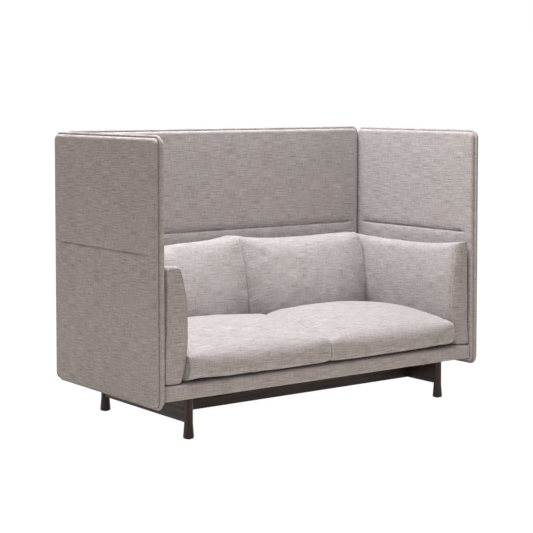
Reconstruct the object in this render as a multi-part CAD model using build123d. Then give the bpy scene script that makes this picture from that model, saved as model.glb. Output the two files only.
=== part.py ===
"""High back settee for two, built as the real one comes apart on a bench.

A stained timber underframe carries an upholstered deck. Three tall padded screens
are bolted to the deck's edges, and six loose cushions stand on it. Millimetres.
X runs along the seat, -Y is the front, Z is up from the floor. The origin is on the
floor below the middle of the settee.
"""
import os
from math import atan2, degrees, pi, sin, sqrt

from build123d import *

os.makedirs("parts", exist_ok=True)

# ---------------------------------------------------------------- driving dimensions
# Screens: the two sides and the back
inside_width = 1764.0  # between the inner faces of the two side screens
screen_depth = 890.0  # a side screen, front to rear
screen_bottom = 153.0
screen_top = 1300.0
back_screen_rise = 4.0  # the back screen stands this much above the side screens
back_screen_set_back = 10.0  # its rear face, behind the side screens' rear edge
board_thickness = 18.0
pad_thickness = 15.0
pad_roll_radius = 13.0  # the pad's outer edge rolls over by this radius
screen_corner_radius = 40.0
bead_diameter = 15.0  # fat piping round each screen's edge
bead_reach = 12.0  # how far the bead stands out beyond the pads
bead_bed_depth = 1.0  # the board stops this much inside the pads, so the bead has a bed
bead_steps, pad_steps, deck_steps = 3, 2, 2  # flat steps in a quarter turn of a rolled edge
crease_height = 800.0  # sewn crease across both faces of each screen
crease_end_gap = 38.0  # from the pad's edge to the end of the crease
crease_width = 12.0
crease_depth = 3.5
crease_run_out = 30.0  # length over which each end of the crease fades out

# Deck: the upholstered platform that the cushions stand on
deck_bottom = 186.0
deck_top = 250.0
deck_set_back = 15.0  # from the front of the side screens to the front of the deck
deck_corner_radius = 15.0
deck_edge_radius = 8.0
deck_cover_thickness = 1.5
deck_foam_thickness = 15.0
webbing_thickness = 2.0
webbing_width = 60.0
webbing_pitch = 100.0
webbing_lap = 24.0  # how far a strap lies on the front and rear beams
first_strap_x = 75.0  # middle of the first strap on each side
dust_cloth_thickness = 1.0
beam_thickness = 28.0
cross_beam_reach = 60.0  # how far a cross beam reaches in past the side rail below it

# Underframe
leg_spacing = 1450.0  # between the middles of the left and right legs
front_leg_set_back = 79.0  # from the front edge of the side screens to the legs' middle
rear_leg_set_back = 113.0  # the same at the rear
leg_sides = 8
leg_neck_width = 36.0  # across the flats
leg_foot_width = 45.0
leg_toe_width = 40.0  # at the very bottom, below the small bevel
leg_flare_height = 66.0
leg_bevel_height = 5.0
rail_bottom = 70.0
rail_thickness = 22.0
long_rail_y = 152.0  # middle of the front long rail, ahead of the screens' middle
tenon_thickness = 10.0
tenon_height = 80.0
tenon_length = 14.0
glide_diameter = 24.0
glide_thickness = 3.0

# Fasteners
pin_sides = 6  # bolts, screws, glides and their holes are left six-sided, to stay light
bolt_diameter = 8.0
bolt_head_diameter = 14.0
bolt_head_height = 5.0
bolt_bite = 14.0  # how deep a bolt goes into the screen's board
side_bolt_count, side_bolt_pitch = 3, 280.0
back_bolt_count, back_bolt_pitch = 4, 400.0
bracket_leg = 40.0
bracket_width = 50.0
bracket_thickness = 3.0
screw_diameter = 5.0
screw_head_diameter = 9.0
screw_head_height = 2.5
screw_length = 16.0
deck_bracket_spread = 480.0  # between the front and rear deck brackets on one rail

# Loose cushions. Each has one section at its middle and another at its ends, with the same
# rounding. Bows say how far the four sides of a section bow out, and radii round its four
# corners. Both go round from the bottom side, or from the corner at its start.
arm_cushion_thickness = 114.5  # at its fattest
arm_cushion_height = 478.0  # at its middle
arm_end_height = 510.0  # at its pointed front and rear corners
arm_set_back = 25.0  # from the front of the side screens to the front of an arm cushion
arm_bows = (0.0, 13.0, 12.0, 33.5)
arm_end_bows = (0.0, 2.0, 7.0, 28.0)
arm_radii = (18.0, 15.0, 15.0, 18.0)
arm_end_foot_width, arm_end_top_width = 78.0, 62.0
seat_overhang = 17.0  # how far a seat cushion stands out in front of the deck
seat_front_height = 123.0  # top of its front edge, above the deck
seat_rear_height = 157.0
seat_lean = 12.0  # its front and rear lean in this much from bottom to top
seat_bows = (0.0, 3.0, 44.0, 10.0)
seat_end_bows = (0.0, 3.0, 26.0, 8.0)
seat_radii = (22.0, 15.0, 22.0, 28.0)
back_cushion_height = 512.0  # at its middle
back_end_height = 524.0  # at the corners of its ends
back_cushion_foot = 262.0  # thickness where its middle stands on the deck
back_end_foot = 185.0  # the same at its ends
back_cushion_head = 134.0  # thickness at its top edge
back_bows = (0.0, 5.0, 12.0, 38.0)
back_end_bows = (0.0, 2.0, 7.0, 38.0)
back_radii = (32.0, 25.0, 25.0, 28.0)
cushion_draw = 5.0  # how much the end section draws in at a cushion's very end
cushion_shoulder = 14.0  # length of that drawn-in end

# Shares, not lengths: how far out a section lies from a cushion's middle towards its end,
# and how much of the end's section it has
cushion_station_shares = ((0.5, 0.1), (0.8, 0.5), (1.0, 1.0))

# Clearances
cushion_gap = 0.5  # between a cushion and anything it touches
seat_back_gap = 3.0  # between a seat cushion's foot and the belly of the back cushion
running_gap = 0.3  # round a bolt or screw that passes through
thread_gap = 0.05  # round a bolt or screw where it bites

# ---------------------------------------------------------------- derived places
half_inside = inside_width / 2
screen_thickness = board_thickness + 2 * pad_thickness
side_screen_x = half_inside + screen_thickness / 2
screen_rear = screen_depth / 2
deck_front = screen_depth / 2 - deck_set_back
back_outer_y = screen_rear + back_screen_set_back
back_inner_y = back_outer_y - screen_thickness
back_screen_y = (back_outer_y + back_inner_y) / 2
side_screen_height = screen_top - screen_bottom
back_screen_height = side_screen_height + back_screen_rise

beam_bottom = deck_bottom + dust_cloth_thickness
foam_top = deck_top - deck_cover_thickness
foam_bottom = foam_top - deck_foam_thickness
beam_top = foam_bottom - webbing_thickness
bolt_z = (beam_bottom + beam_top) / 2
deck_inner_x = half_inside - deck_cover_thickness
deck_inner_front = -deck_front + deck_cover_thickness
deck_inner_rear = back_inner_y - deck_cover_thickness
beam_front_y = deck_inner_front + beam_thickness
beam_rear_y = deck_inner_rear - beam_thickness

leg_x = leg_spacing / 2
front_leg_y = front_leg_set_back - screen_depth / 2
rear_leg_y = screen_rear - rear_leg_set_back
leg_middle_y = (front_leg_y + rear_leg_y) / 2
rail_middle_z = (deck_bottom + rail_bottom) / 2
rail_inner_x = leg_x - rail_thickness / 2
rail_outer_x = leg_x + rail_thickness / 2
cross_inner_x = rail_inner_x - cross_beam_reach
rear_long_rail_y = 2 * leg_middle_y + long_rail_y
long_rails = {"front": -long_rail_y, "rear": rear_long_rail_y}
leg_places = {
    "front_left": (-leg_x, front_leg_y),
    "front_right": (leg_x, front_leg_y),
    "rear_left": (-leg_x, rear_leg_y),
    "rear_right": (leg_x, rear_leg_y),
}
side_signs = {"left": -1, "right": 1}

arm_outer_x = half_inside - cushion_gap
arm_inner_x = arm_outer_x - arm_cushion_thickness
seat_outer_x = arm_inner_x - cushion_gap
cushion_floor = deck_top + cushion_gap
cushion_rear = back_inner_y - cushion_gap
corner_peak = 1 - sqrt(0.5)  # how far in a rounded corner's middle lies, in radii


# ---------------------------------------------------------------- small helpers
def block(x_range, y_range, z_range):
    """A box between the given limits along X, Y and Z."""
    (x0, x1), (y0, y1), (z0, z1) = x_range, y_range, z_range
    size = (abs(x1 - x0), abs(y1 - y0), abs(z1 - z0))
    return Pos((x0 + x1) / 2, (y0 + y1) / 2, (z0 + z1) / 2) * Box(*size)


def rod(start, direction, length, diameter):
    """A slim bar with equal flat sides, from a point along a direction."""
    plane = Plane(origin=start, z_dir=direction)
    return extrude(plane * RegularPolygon(diameter / 2, pin_sides), length)


def headed_pin(seat, direction, length, shank, head, head_height):
    """A bolt or screw: its head rests on the seat, its shank runs along the direction."""
    back = tuple(-component for component in direction)
    return rod(seat, direction, length, shank) + rod(seat, back, head_height, head)


def rolled(outline, radius, steps):
    """A rim that rolls inwards by a quarter turn above an outline, in a few flat steps."""
    turn = pi / 2 / steps
    layers = []
    for k in range(steps):
        rise = radius * (sin((k + 1) * turn) - sin(k * turn))
        layers.append(extrude(outline, rise, taper=degrees((k + 0.5) * turn)))
        outline = layers[-1].faces().sort_by(Axis.Z)[-1]
    return sum(layers[1:], layers[0])


def mirrored_pair(solid):
    """The solid and its mirror image across the middle of the settee."""
    return [solid, mirror(solid, about=Plane.YZ)]


def spread(count, pitch):
    """Evenly spaced places, centred on zero."""
    return [(k - (count - 1) / 2) * pitch for k in range(count)]


def save(name, shape):
    """Writes one sub-part; a list becomes a group of separate solids."""
    if isinstance(shape, (list, tuple)):
        shape = Compound(children=[solid for item in shape for solid in item.solids()])
    export_step(shape, f"parts/{name}.step")


# ---------------------------------------------------------------- screens
def screen_outline(width, height, inset):
    """The rounded outline of a screen, drawn in by an inset."""
    return RectangleRounded(
        width - 2 * inset, height - 2 * inset, screen_corner_radius - inset
    )


def screen_board(width, height):
    """The board in the middle of a screen."""
    inset = bead_reach + bead_bed_depth
    return extrude(screen_outline(width, height, inset), board_thickness / 2, both=True)


def screen_bead(width, height):
    """Fat piping round the edge: round outside, flat where it is nailed to the board."""
    half = rolled(screen_outline(width, height, 0), bead_diameter / 2, bead_steps)
    ring = half + mirror(half, about=Plane.XY)
    bed = extrude(
        screen_outline(width, height, bead_reach + bead_bed_depth), bead_diameter, both=True
    )
    return ring - bed


def crease_tool(length, height):
    """A long wedge that presses a sewn crease into a pad's face and runs out at both ends."""
    bottom = screen_thickness / 2 - crease_depth
    top = screen_thickness / 2 + crease_depth
    straight = length / 2 - crease_run_out
    reach = length / 2 + crease_run_out
    across = Polygon((0, bottom), (crease_width, top), (-crease_width, top), align=None)
    along = Polygon(
        (-straight, bottom), (straight, bottom), (reach, top), (-reach, top), align=None
    )
    wedge = extrude(Plane.YZ * across, reach, both=True)
    wedge &= extrude(Plane.XZ * along, crease_width, both=True)
    return Pos(0, height, 0) * wedge


def screen_pad(width, height, crease):
    """A thin foam pad with rolled edges and a crease that stops short of the edges."""
    outline = Pos(0, 0, board_thickness / 2) * screen_outline(width, height, bead_reach)
    foot = extrude(outline, pad_thickness - pad_roll_radius)
    pad = foot + rolled(foot.faces().sort_by(Axis.Z)[-1], pad_roll_radius, pad_steps)
    return pad - crease_tool(width - 2 * (bead_reach + crease_end_gap), crease)


def build_screen(name, plane, width, height, bolt_spots, bolt_direction):
    """Saves the board, bead and two pads of one screen, drilled for its bolts."""
    middle = screen_bottom + height / 2
    crease = crease_height - middle
    board = plane * screen_board(width, height)
    bead = plane * screen_bead(width, height)
    inner = plane * screen_pad(width, height, crease)
    outer = plane * mirror(screen_pad(width, height, crease), about=Plane.XY)
    for spot in bolt_spots:
        inner -= rod(spot, bolt_direction, bolt_reach, bolt_diameter + 2 * running_gap)
        board -= rod(spot, bolt_direction, bolt_reach, bolt_diameter + 2 * thread_gap)
    save(f"{name}_screen_board", board)
    save(f"{name}_screen_bead", bead)
    save(f"{name}_screen_inner_pad", inner)
    save(f"{name}_screen_outer_pad", outer)


# A bolt runs from the inner face of a deck beam into the screen's board.
bolt_reach = beam_thickness + deck_cover_thickness + pad_thickness + bolt_bite
side_bolt_x = deck_inner_x - beam_thickness
back_bolt_spots = [(x, beam_rear_y, bolt_z) for x in spread(back_bolt_count, back_bolt_pitch)]


def side_bolt_spots(sign):
    """Where the bolts' heads rest on one end beam."""
    return [(sign * side_bolt_x, y, bolt_z) for y in spread(side_bolt_count, side_bolt_pitch)]


def build_screens():
    """The two side screens, the back screen and the bolts that hold them."""
    for name, sign in side_signs.items():
        plane = Plane(
            origin=(sign * side_screen_x, 0, screen_bottom + side_screen_height / 2),
            x_dir=(0, -sign, 0),
            z_dir=(-sign, 0, 0),
        )
        spots = side_bolt_spots(sign)
        build_screen(name, plane, screen_depth, side_screen_height, spots, (sign, 0, 0))
        save(f"{name}_screen_bolts", [screen_bolt(spot, (sign, 0, 0)) for spot in spots])
    plane = Plane(
        origin=(0, back_screen_y, screen_bottom + back_screen_height / 2),
        x_dir=(1, 0, 0),
        z_dir=(0, -1, 0),
    )
    build_screen("back", plane, inside_width, back_screen_height, back_bolt_spots, (0, 1, 0))
    save("back_screen_bolts", [screen_bolt(spot, (0, 1, 0)) for spot in back_bolt_spots])


def screen_bolt(spot, direction):
    """One bolt from a deck beam into a screen."""
    return headed_pin(
        spot, direction, bolt_reach, bolt_diameter, bolt_head_diameter, bolt_head_height
    )


# ---------------------------------------------------------------- deck
def deck_solid(inset):
    """The deck's outer form, drawn in by an inset on every side but the bottom."""
    x = half_inside - inset
    front = -deck_front + inset
    rear = back_inner_y - inset
    solid = block((-x, x), (front, rear), (deck_bottom, deck_top - deck_edge_radius))
    corners = solid.edges().filter_by(Axis.Z).sort_by(Axis.Y)[:2]
    solid = fillet(corners, deck_corner_radius - inset)
    rim = solid.faces().sort_by(Axis.Z)[-1]
    return solid + rolled(rim, deck_edge_radius - inset, deck_steps)


def drill_for_screens(shape, diameter):
    """Cuts the holes that the screens' bolts pass through."""
    for sign in side_signs.values():
        for spot in side_bolt_spots(sign):
            shape -= rod(spot, (sign, 0, 0), bolt_reach, diameter)
    for spot in back_bolt_spots:
        shape -= rod(spot, (0, 1, 0), bolt_reach, diameter)
    return shape


def build_deck():
    """Beams, webbing, foam, cover and dust cloth of the platform."""
    bolt_hole = bolt_diameter + 2 * running_gap
    screw_spots = [bracket["screws"][0] for bracket in deck_brackets()]
    inside = deck_solid(deck_cover_thickness)
    full = (-deck_inner_x, deck_inner_x)
    between = (beam_front_y, beam_rear_y)

    def layer(low, high):
        return inside & block(full, (deck_inner_front, deck_inner_rear), (low, high))

    framed = layer(beam_bottom, beam_top)

    def beam(x_range, y_range):
        return framed & block(x_range, y_range, (beam_bottom, beam_top))

    save("deck_front_beam", beam(full, (deck_inner_front, beam_front_y)))
    rear_beam = beam(full, (beam_rear_y, deck_inner_rear))
    save("deck_rear_beam", drill_for_screens(rear_beam, bolt_hole))
    for name, sign in side_signs.items():
        end = beam((sign * side_bolt_x, sign * deck_inner_x), between)
        save(f"deck_{name}_end_beam", drill_for_screens(end, bolt_hole))
        cross = beam((sign * cross_inner_x, sign * rail_outer_x), between)
        for seat, direction in screw_spots:
            cross -= rod(seat, direction, screw_length, screw_diameter + 2 * thread_gap)
        save(f"deck_{name}_cross_beam", cross)
    save("deck_middle_beam", beam((-beam_thickness / 2, beam_thickness / 2), between))

    straps = []
    x = first_strap_x
    while x + webbing_width / 2 < cross_inner_x:
        x_range = (x - webbing_width / 2, x + webbing_width / 2)
        y_range = (beam_front_y - webbing_lap, beam_rear_y + webbing_lap)
        straps += mirrored_pair(block(x_range, y_range, (beam_top, foam_bottom)))
        x += webbing_pitch
    save("deck_webbing", straps)

    save("deck_foam", layer(foam_bottom, foam_top))
    save("deck_cover", drill_for_screens(deck_solid(0) - inside, bolt_hole))
    cloth = layer(deck_bottom, beam_bottom)
    for seat, direction in screw_spots:
        cloth -= rod(seat, direction, screw_length, screw_diameter + 2 * running_gap)
    save("deck_dust_cloth", cloth)


# ---------------------------------------------------------------- underframe
def leg_outline(width, z):
    """The leg's outline at a height, with flats to the front, rear and sides."""
    turn = 180 / leg_sides
    shape = RegularPolygon(width / 2, leg_sides, major_radius=False, rotation=turn)
    return Plane.XY.offset(z) * shape


def leg_stretch(low_width, high_width, low, high):
    """A stretch of the leg between two heights, with flat sides that may lean."""
    lean = degrees(atan2((low_width - high_width) / 2, high - low))
    return extrude(leg_outline(low_width, low), high - low, taper=lean)


def leg_solid():
    """A straight eight-sided leg whose foot flares out and ends in a small bevel."""
    toe = glide_thickness
    widest = toe + leg_bevel_height
    return (
        leg_stretch(leg_toe_width, leg_foot_width, toe, widest)
        + leg_stretch(leg_foot_width, leg_neck_width, widest, leg_flare_height)
        + leg_stretch(leg_neck_width, leg_neck_width, leg_flare_height, deck_bottom)
    )


def tenon_bar(y_from, y_to):
    """The full bar of both tenons of a side rail, end to end."""
    half = tenon_thickness / 2
    low = rail_middle_z - tenon_height / 2
    return block((-half, half), (y_from, y_to), (low, low + tenon_height))


def build_underframe():
    """Legs, rails, glides, brackets and their screws."""
    flat = leg_neck_width / 2
    leg = leg_solid()
    tenon_front = front_leg_y + flat - tenon_length
    tenon_rear = rear_leg_y - flat + tenon_length
    tenons = tenon_bar(tenon_front, tenon_rear)
    half = rail_thickness / 2
    rail = block((-half, half), (front_leg_y, rear_leg_y), (rail_bottom, deck_bottom))
    for y in (front_leg_y, rear_leg_y):
        rail -= Pos(0, y, 0) * leg
    rail += tenons
    for name, (x, y) in leg_places.items():
        save(f"leg_{name}", Pos(x, y, 0) * leg - Pos(x, 0, 0) * tenons)
    glides = [
        rod((x, y, 0), (0, 0, 1), glide_thickness, glide_diameter) for x, y in leg_places.values()
    ]
    save("foot_glides", glides)

    corners, holders = corner_brackets(), deck_brackets()
    screws = [place for bracket in corners + holders for place in bracket["screws"]]
    for name, sign in side_signs.items():
        save(f"side_rail_{name}", drill_for_screws(Pos(sign * leg_x, 0, 0) * rail, screws))
    for name, y in long_rails.items():
        long_rail = block(
            (-rail_inner_x, rail_inner_x), (y - half, y + half), (rail_bottom, deck_bottom)
        )
        save(f"long_rail_{name}", drill_for_screws(long_rail, screws))
    save("corner_brackets", [bracket["solid"] for bracket in corners])
    save("deck_brackets", [bracket["solid"] for bracket in holders])
    save("bracket_screws", [screw(*place) for place in screws])


def drill_for_screws(shape, screws):
    """Cuts the holes that the brackets' screws bite into."""
    for seat, direction in screws:
        shape -= rod(seat, direction, screw_length, screw_diameter + 2 * thread_gap)
    return shape


def screw(seat, direction):
    """A short screw that holds a bracket."""
    return headed_pin(
        seat, direction, screw_length, screw_diameter, screw_head_diameter, screw_head_height
    )


def angle(corner, first, second, along):
    """A steel angle in a corner. Its two plates run along first and second."""
    corner, first, second, along = (Vector(*v) for v in (corner, first, second, along))
    plates = []
    for out, thick in ((first, second), (second, first)):
        low = corner - along * (bracket_width / 2)
        high = corner + along * (bracket_width / 2) + out * bracket_leg + thick * bracket_thickness
        limits = [sorted((a, b)) for a, b in zip(tuple(low), tuple(high))]
        plates.append(block(*limits))
    holed = plates[0] + plates[1]
    screws = []
    for out, thick in ((first, second), (second, first)):
        seat = corner + out * (bracket_leg / 2) + thick * bracket_thickness
        place = (tuple(seat), tuple(-thick))
        holed -= rod(*place, bracket_thickness, screw_diameter + 2 * running_gap)
        screws.append(place)
    return {"solid": holed, "screws": screws}


def corner_brackets():
    """Upright angles that hold the long rails to the side rails, on their hidden faces."""
    found = []
    for sign in side_signs.values():
        for y, inward in ((long_rails["front"], 1), (long_rails["rear"], -1)):
            corner = (sign * rail_inner_x, y + inward * rail_thickness / 2, rail_middle_z)
            found.append(angle(corner, (-sign, 0, 0), (0, inward, 0), (0, 0, 1)))
    return found


def deck_brackets():
    """Angles under the deck that hold it down on the side rails."""
    found = []
    for sign in side_signs.values():
        for k in (-1, 1):
            y = leg_middle_y + k * deck_bracket_spread / 2
            corner = (sign * rail_inner_x, y, deck_bottom)
            found.append(angle(corner, (-sign, 0, 0), (0, 0, -1), (0, 1, 0)))
    return found


# ---------------------------------------------------------------- loose cushions
def cushion_section(corners, bows, radii, draw=0.0):
    """A closed outline of four bowed sides and four rounded corners, drawn in all round.

    Corners go round anticlockwise. A bow is how far the side from that corner to the
    next bows out, and a radius rounds that corner.
    """
    middle = sum((Vector(*c) for c in corners), Vector()) / len(corners)
    points = []
    for corner in corners:
        x = corner[0] - draw if corner[0] > middle.X else corner[0] + draw
        y = corner[1] - draw if corner[1] > middle.Y else corner[1] + draw
        points.append(Vector(x, y))
    edges = []
    for k, here in enumerate(points):
        nxt = (k + 1) % len(points)
        before, after = points[k - 1], points[nxt]
        into = (before - here).normalized()
        out = (after - here).normalized()
        end = here + out * radii[k]
        peak = here + (into + out) * (radii[k] * corner_peak)
        edges.append(ThreePointArc(here + into * radii[k], peak, end))
        stop = after - out * radii[nxt]
        if bows[k] > 0:
            outward = Vector(out.Y, -out.X)
            edges.append(ThreePointArc(end, (end + stop) * 0.5 + outward * bows[k], stop))
        else:
            edges.append(Line(end, stop))
    return make_face(edges)


def blended(middle, end, share):
    """Numbers part of the way from a middle section's to an end section's."""
    if isinstance(middle, (tuple, list)):
        return [blended(a, b, share) for a, b in zip(middle, end)]
    return middle + (end - middle) * share


def cushion(span, x_dir, z_dir, middle_section, end_section, radii):
    """A crowned cushion between two planes, whose ends draw in to a sewn end piece.

    Each section is a tuple of corners and bows.
    """
    start, end = span
    reach = (end - start) / 2 - cushion_shoulder

    def outline(place, section, draw=0.0):
        plane = Plane(origin=Vector(*z_dir) * place, x_dir=x_dir, z_dir=z_dir)
        return plane * cushion_section(*section, radii, draw)

    middle = (start + end) / 2
    near, far = [], []
    for out, share in cushion_station_shares:
        section = blended(middle_section, end_section, share)
        near.insert(0, outline(middle - out * reach, section))
        far.append(outline(middle + out * reach, section))
    near.insert(0, outline(start, end_section, cushion_draw))
    far.append(outline(end, end_section, cushion_draw))
    return loft(near + far, ruled=True)


def seat_span(sign):
    """Where a seat or back cushion starts and ends along the settee."""
    low, high = cushion_gap / 2, seat_outer_x
    return (low, high) if sign > 0 else (-high, -low)


def back_cushion(sign):
    """Back cushion: stands on the deck, leans on the back screen, bellies to the front."""

    def corners(foot, top):
        return [(rear - foot, floor), (rear, floor), (rear, top), (rear - back_cushion_head, top)]

    rear, floor = cushion_rear - back_bows[1], cushion_floor
    middle = corners(back_cushion_foot, floor + back_cushion_height - back_bows[2])
    end = corners(back_end_foot, floor + back_end_height - back_end_bows[2])
    return cushion(
        seat_span(sign),
        (0, 1, 0),
        (1, 0, 0),
        (middle, back_bows),
        (end, back_end_bows),
        back_radii,
    )


def seat_cushion(sign):
    """Seat cushion: flat below, high crown, full front, close to the back cushion's belly."""
    front = -deck_front - seat_overhang
    belly = back_cushion(sign).bounding_box().min.Y
    rear, floor = belly - seat_back_gap, cushion_floor
    corners = [
        (front, floor),
        (rear, floor),
        (rear - seat_lean, floor + seat_rear_height),
        (front + seat_lean, floor + seat_front_height),
    ]
    return cushion(
        seat_span(sign),
        (0, 1, 0),
        (1, 0, 0),
        (corners, seat_bows),
        (corners, seat_end_bows),
        seat_radii,
    )


def arm_cushion(sign):
    """Arm cushion: stands along a side screen, fat in the middle, pointed at its top ends."""
    outer = arm_outer_x - arm_bows[1]
    inner = arm_inner_x + arm_bows[3]
    floor = cushion_floor
    top = floor + arm_cushion_height - arm_bows[2]
    middle = [(inner, floor), (outer, floor), (outer, top), (inner, top)]
    end_inner = arm_inner_x + arm_end_bows[3]
    end_top = floor + arm_end_height - arm_end_bows[2]
    end = [
        (end_inner, floor),
        (end_inner + arm_end_foot_width, floor),
        (end_inner + arm_end_top_width, end_top),
        (end_inner, end_top),
    ]
    right = cushion(
        (-cushion_rear, screen_depth / 2 - arm_set_back),
        (1, 0, 0),
        (0, -1, 0),
        (middle, arm_bows),
        (end, arm_end_bows),
        arm_radii,
    )
    return right if sign > 0 else mirror(right, about=Plane.YZ)


def build_cushions():
    """Six loose cushions, three on each side."""
    for name, sign in side_signs.items():
        save(f"seat_cushion_{name}", seat_cushion(sign))
        save(f"back_cushion_{name}", back_cushion(sign))
        save(f"arm_cushion_{name}", arm_cushion(sign))


build_underframe()
build_deck()
build_screens()
build_cushions()
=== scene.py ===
# %% [markdown]
# # Dressing a high back settee
# The settee was first built as solids: a dark timber underframe, an upholstered deck,
# three tall padded screens and six loose cushions. They say where each piece is and how
# big it is, and they are never moved. Here each soft piece gets the skin that a camera
# sees: linen, seams, piping and stuffing. The hard pieces get stain and softened edges.

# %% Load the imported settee
import math

import bmesh
import bpy
import numpy as np
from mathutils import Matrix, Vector, noise


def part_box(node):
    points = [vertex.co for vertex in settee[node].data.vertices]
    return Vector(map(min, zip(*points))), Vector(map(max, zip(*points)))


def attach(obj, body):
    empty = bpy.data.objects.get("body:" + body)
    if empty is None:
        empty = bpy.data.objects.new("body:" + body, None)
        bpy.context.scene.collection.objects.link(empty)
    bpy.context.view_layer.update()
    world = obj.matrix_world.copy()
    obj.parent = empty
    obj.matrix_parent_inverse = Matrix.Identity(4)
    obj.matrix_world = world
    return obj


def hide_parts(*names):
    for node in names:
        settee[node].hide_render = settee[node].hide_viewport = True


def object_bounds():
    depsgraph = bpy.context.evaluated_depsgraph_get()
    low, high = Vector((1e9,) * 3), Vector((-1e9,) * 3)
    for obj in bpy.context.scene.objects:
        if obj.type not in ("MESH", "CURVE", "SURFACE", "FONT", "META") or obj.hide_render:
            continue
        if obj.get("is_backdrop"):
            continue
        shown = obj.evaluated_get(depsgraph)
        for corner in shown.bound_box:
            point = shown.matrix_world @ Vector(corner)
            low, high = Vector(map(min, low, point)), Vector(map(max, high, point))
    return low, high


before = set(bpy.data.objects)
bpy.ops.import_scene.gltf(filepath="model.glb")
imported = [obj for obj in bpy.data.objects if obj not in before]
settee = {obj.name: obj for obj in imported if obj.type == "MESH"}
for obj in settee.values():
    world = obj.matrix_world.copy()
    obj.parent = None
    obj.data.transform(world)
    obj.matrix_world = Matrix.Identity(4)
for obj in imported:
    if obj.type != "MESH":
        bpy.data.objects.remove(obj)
cad_low, cad_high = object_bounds()
print("solids:", len(settee), "size in metres:", [round(v, 3) for v in cad_high - cad_low])

# %% [markdown]
# ## Looking at it
# The photograph was taken from the settee's front left, from above seated eye height,
# with a long lens. The camera was found by matching edges of the solids to the same edges
# in the photograph. Its picture is shifted, because the photograph's middle isn't the
# middle of the lens.

# %% Camera
def face_along(thing, direction):
    """Turns a camera or a lamp to look along a direction."""
    thing.rotation_mode = "QUATERNION"
    thing.rotation_quaternion = Vector(direction).to_track_quat("-Z", "Y")


turn, tilt = math.radians(36.658), math.radians(3.203)  # off the seats' front, and down
lens_pixels, photo_pixels = 1460.0, 533.0
sight_row = 178.44  # the row of the photograph that the lens points at
film_width = 36.0  # mm
camera = bpy.data.objects.new("camera", bpy.data.cameras.new("camera"))
bpy.context.scene.collection.objects.link(camera)
camera.location = (-4.1382, -5.5094, 1.4588)
level = math.cos(tilt)
face_along(camera, (math.sin(turn) * level, math.cos(turn) * level, -math.sin(tilt)))
camera.data.sensor_width = film_width
camera.data.lens = lens_pixels * film_width / photo_pixels
camera.data.shift_y = -(photo_pixels / 2 - sight_row) / photo_pixels
bpy.context.scene.camera = camera
print("lens", round(camera.data.lens, 1), "mm, shift", round(camera.data.shift_y, 3))

# %% [markdown]
# ## Light
# A furniture studio lights pale cloth with a strong soft lamp overhead, a weak one in
# front and a bright room round it. The seats face the strong lamp and are the brightest
# surfaces. The room and the weak lamp light the screens' outsides. The room's own white
# is shown to the camera and to reflections alone, so it doesn't wash out the cloth.

# %% Lamps
lamp_colour = (0.95, 0.98, 1.0)


def soft_lamp(name, place, aim, size, power):
    """One large square lamp. Its size is in metres and its power in watts."""
    lamp = bpy.data.objects.new(name, bpy.data.lights.new(name, "AREA"))
    bpy.context.scene.collection.objects.link(lamp)
    lamp.data.shape, lamp.data.size, lamp.data.energy = "SQUARE", size, power
    lamp.data.color = lamp_colour
    lamp.location = place
    face_along(lamp, Vector(aim) - Vector(place))


soft_lamp("overhead_lamp", (-0.40, 0.0, 4.2), aim=(0.05, 0.05, 0.5), size=1.8, power=332.0)
soft_lamp("front_lamp", (-3.4, -5.5, 1.6), aim=(0.0, 0.0, 0.4), size=2.5, power=32.0)

# %% Room
room_light, room_colour = 0.525, (1.0, 0.93, 0.88, 1)
room = bpy.data.worlds.new("room")
bpy.context.scene.world = room
room.use_nodes = True
room.node_tree.nodes.clear()


def add_node(tree, kind, inputs=None, **settings):
    """Adds a shader node. Each input takes a plain value or another node's output."""
    node = tree.nodes.new("ShaderNode" + kind)
    for key, value in settings.items():
        setattr(node, key, value)
    for key, value in (inputs or {}).items():
        if isinstance(value, bpy.types.NodeSocket):
            tree.links.new(value, node.inputs[key])
        else:
            node.inputs[key].default_value = value
    return node


def worked_out(tree, operation, a, b=0.0):
    """The output of one Math node."""
    return add_node(tree, "Math", {0: a, 1: b}, operation=operation).outputs[0]


def seen_directly(tree):
    """1 for camera, mirror and glass rays, and 0 for the rays that light a surface."""
    ray = add_node(tree, "LightPath").outputs
    first = worked_out(tree, "MAXIMUM", ray["Is Camera Ray"], ray["Is Glossy Ray"])
    return worked_out(tree, "MAXIMUM", first, ray["Is Transmission Ray"])


tree = room.node_tree
dim = add_node(tree, "Background", {"Color": room_colour, "Strength": room_light})
white = add_node(tree, "Background", {"Color": (1, 1, 1, 1), "Strength": 1.0})
seen = seen_directly(tree)
both = add_node(tree, "MixShader", {0: seen, 1: dim.outputs[0], 2: white.outputs[0]})
add_node(tree, "OutputWorld", {"Surface": both.outputs[0]})
bpy.context.scene.view_settings.view_transform = "Standard"
print("light of the room on the cloth:", room_light)

# %% [markdown]
# ## Floor
# The photograph has a white floor that runs into a white wall. A large pale sheet does
# both jobs. The camera sees it mostly as plain white. The rest of it is matt, so that the
# feet still stand on a faint shadow.

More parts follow.
